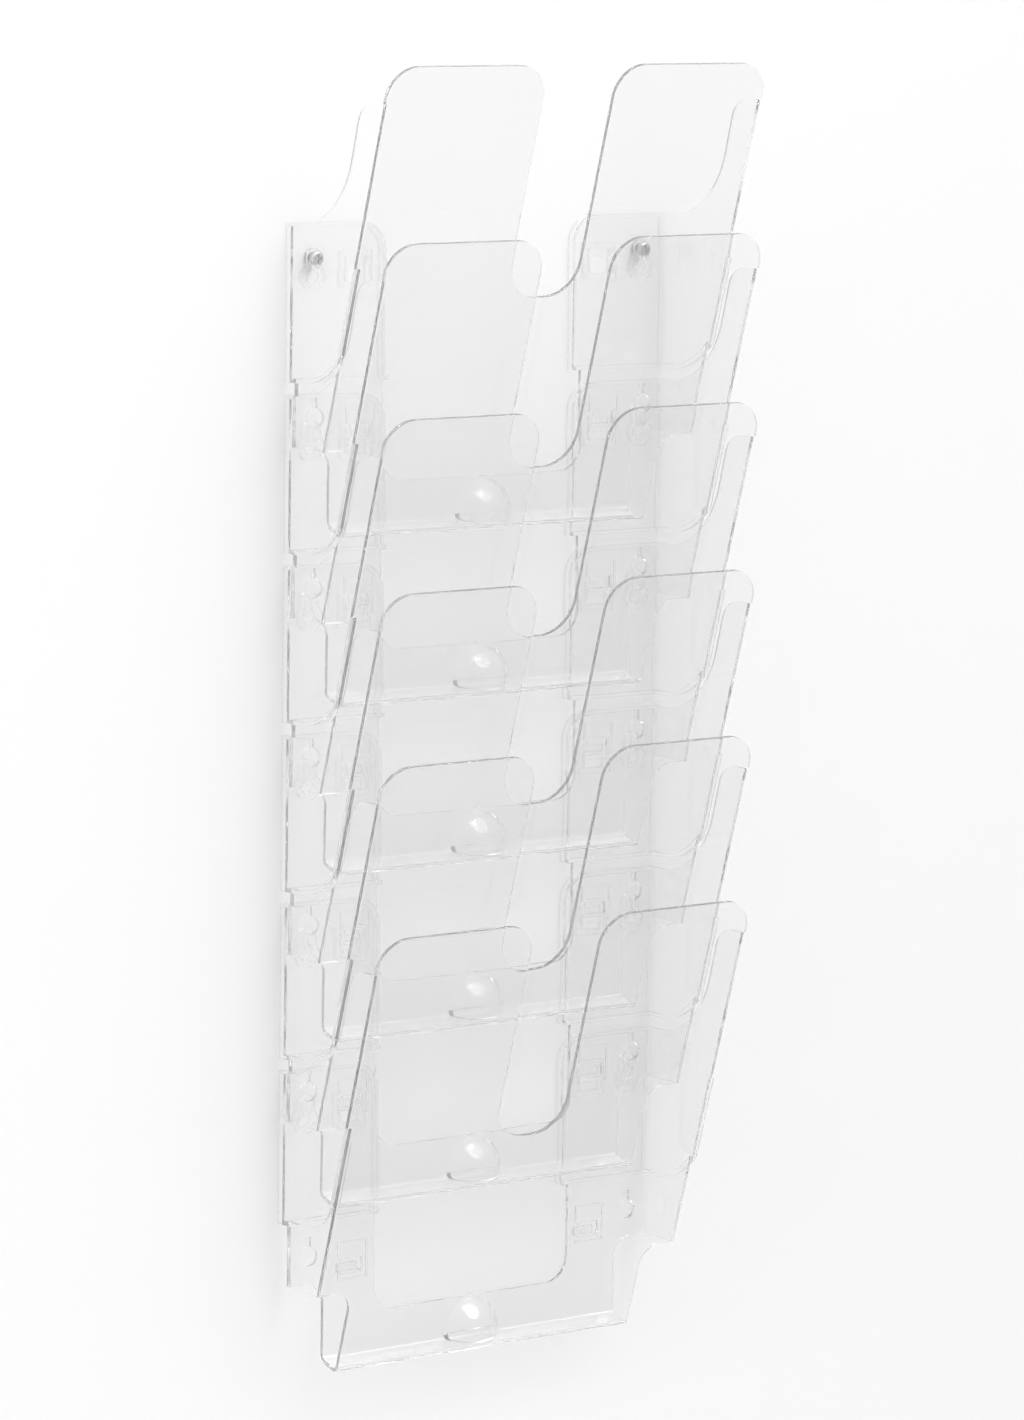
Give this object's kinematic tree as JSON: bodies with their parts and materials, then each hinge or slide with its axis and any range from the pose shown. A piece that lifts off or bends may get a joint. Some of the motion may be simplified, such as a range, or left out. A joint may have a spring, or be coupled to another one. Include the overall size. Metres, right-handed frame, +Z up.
{
  "type": "magazine rack",
  "caption": "Wall-hung magazine rack: a column of clear moulded pockets with two-lobed leaning fronts, hooked one below another and hung on wall screws by keyholes.",
  "frame": {"origin": "on the wall, midway between the two screw axes", "axes": "+X right across the rack, -Y out from the wall towards the reader, +Z up"},
  "size_m": [0.247, 0.13, 0.7064],
  "materials": {
    "clear_plastic": "clear polished moulded polystyrene",
    "zinc_screw": "bright zinc plate",
    "grey_nylon": "satin moulded nylon"
  },
  "bodies": {
    "wall_fixings": {"wall_plug_left": "grey_nylon", "wall_plug_right": "grey_nylon", "wall_screw_left": "zinc_screw", "wall_screw_right": "zinc_screw"},
    "pocket_1": {"pocket_1": "clear_plastic"},
    "pocket_2": {"pocket_2": "clear_plastic"},
    "pocket_3": {"pocket_3": "clear_plastic"},
    "pocket_4": {"pocket_4": "clear_plastic"},
    "pocket_5": {"pocket_5": "clear_plastic"},
    "pocket_6": {"pocket_6": "clear_plastic"}
  },
  "joints": [
    {"name": "rack_lift", "type": "slide", "parent": "wall_fixings", "child": "pocket_1", "axis": [0, 0, 1], "range_m": [0, 0.0095]},
    {"name": "pocket_2_lift", "type": "slide", "parent": "pocket_1", "child": "pocket_2", "axis": [0, 0, 1], "range_m": [0, 0.004]},
    {"name": "pocket_3_lift", "type": "slide", "parent": "pocket_2", "child": "pocket_3", "axis": [0, 0, 1], "range_m": [0, 0.004]},
    {"name": "pocket_4_lift", "type": "slide", "parent": "pocket_3", "child": "pocket_4", "axis": [0, 0, 1], "range_m": [0, 0.004]},
    {"name": "pocket_5_lift", "type": "slide", "parent": "pocket_4", "child": "pocket_5", "axis": [0, 0, 1], "range_m": [0, 0.004]},
    {"name": "pocket_6_lift", "type": "slide", "parent": "pocket_5", "child": "pocket_6", "axis": [0, 0, 1], "range_m": [0, 0.004]}
  ]
}
